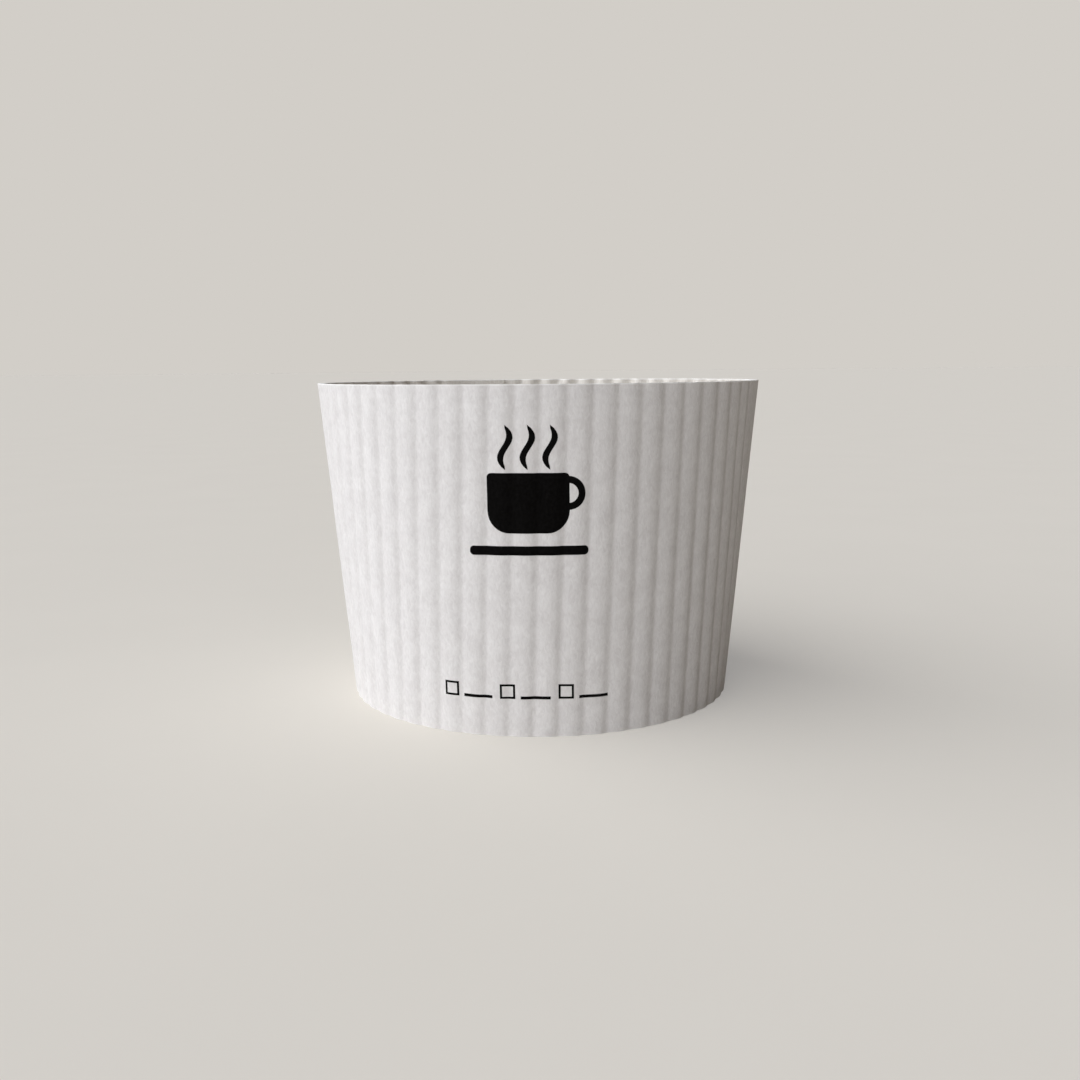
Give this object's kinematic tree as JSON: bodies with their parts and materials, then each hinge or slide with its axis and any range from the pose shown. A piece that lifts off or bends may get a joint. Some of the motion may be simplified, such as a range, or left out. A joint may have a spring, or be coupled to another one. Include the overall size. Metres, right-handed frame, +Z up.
{
  "type": "coffee cup sleeve",
  "caption": "Tapered corrugated board sleeve for a paper hot-drink cup, open at both ends, with a glued lap seam at the back.",
  "frame": {"origin": "centre of the lower edge, in the plane it stands on", "axes": "+Z up the sleeve's axis, towards its wider end; -Y faces the viewer of the picture; the seam is at the back"},
  "size_m": [0.0812, 0.0812, 0.0573],
  "materials": {
    "white_board": "matte uncoated paper"
  },
  "bodies": {
    "root": {"sleeve": "white_board"}
  },
  "joints": []
}
